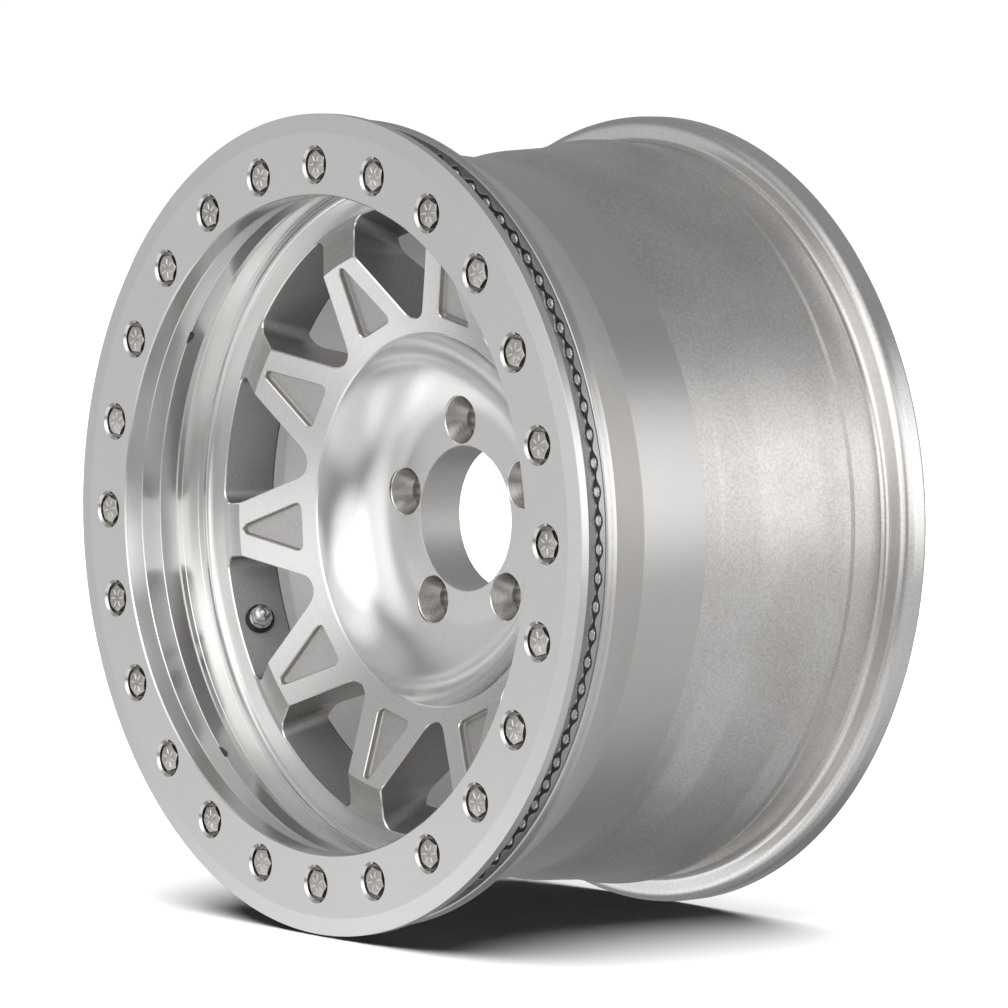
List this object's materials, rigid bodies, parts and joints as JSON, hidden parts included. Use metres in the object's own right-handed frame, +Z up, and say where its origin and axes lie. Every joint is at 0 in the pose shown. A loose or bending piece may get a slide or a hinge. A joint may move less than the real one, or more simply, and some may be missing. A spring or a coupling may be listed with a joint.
{
  "type": "car wheel",
  "caption": "Forged off-road car wheel with a bolted bead lock ring, flared spokes with triangular pockets, a dished centre and a tyre valve.",
  "frame": {"origin": "centre of the hub bore on the flat mounting face that sits against the hub", "axes": "+Y along the spin axis from the street side towards the vehicle, +Z up as the wheel stands, +X level"},
  "size_m": [0.4678, 0.255, 0.4678],
  "materials": {
    "forged_aluminium": "machined and part polished, raw forged skin on the barrel",
    "ring_aluminium": "fine turned satin",
    "bolt_steel": "plain stainless",
    "insert_steel": "plain",
    "valve_metal": "bright plated",
    "core_brass": "plain",
    "seal_rubber": "moulded black"
  },
  "bodies": {
    "wheel_body": {"wheel": "forged_aluminium", "beadlock_ring": "ring_aluminium", "ring_bolt_01": "bolt_steel", "ring_bolt_02": "bolt_steel", "ring_bolt_03": "bolt_steel", "ring_bolt_04": "bolt_steel", "ring_bolt_05": "bolt_steel", "ring_bolt_06": "bolt_steel", "ring_bolt_07": "bolt_steel", "ring_bolt_08": "bolt_steel", "ring_bolt_09": "bolt_steel", "ring_bolt_10": "bolt_steel", "ring_bolt_11": "bolt_steel", "ring_bolt_12": "bolt_steel", "ring_bolt_13": "bolt_steel", "ring_bolt_14": "bolt_steel", "ring_bolt_15": "bolt_steel", "ring_bolt_16": "bolt_steel", "ring_bolt_17": "bolt_steel", "ring_bolt_18": "bolt_steel", "ring_bolt_19": "bolt_steel", "ring_bolt_20": "bolt_steel", "ring_bolt_21": "bolt_steel", "ring_bolt_22": "bolt_steel", "ring_bolt_23": "bolt_steel", "ring_bolt_24": "bolt_steel", "ring_washers": "bolt_steel", "thread_inserts": "insert_steel", "valve_stem": "valve_metal", "valve_outer_seal": "seal_rubber", "valve_inner_seal": "seal_rubber", "valve_washer": "valve_metal", "valve_nut": "valve_metal", "valve_cap": "valve_metal", "cap_seal": "seal_rubber", "core_body": "core_brass", "core_spring": "insert_steel"},
    "valve_pin": {"core_pin": "core_brass", "core_seal": "seal_rubber"}
  },
  "joints": [
    {"name": "valve_pin_slide", "type": "slide", "parent": "wheel_body", "child": "valve_pin", "axis": [-0.8348, 0.4284, -0.3458], "range_m": [0, 0.0012], "stiffness_N_per_m": 300, "springref_m": -0.001, "deforming": ["core_spring"]}
  ]
}
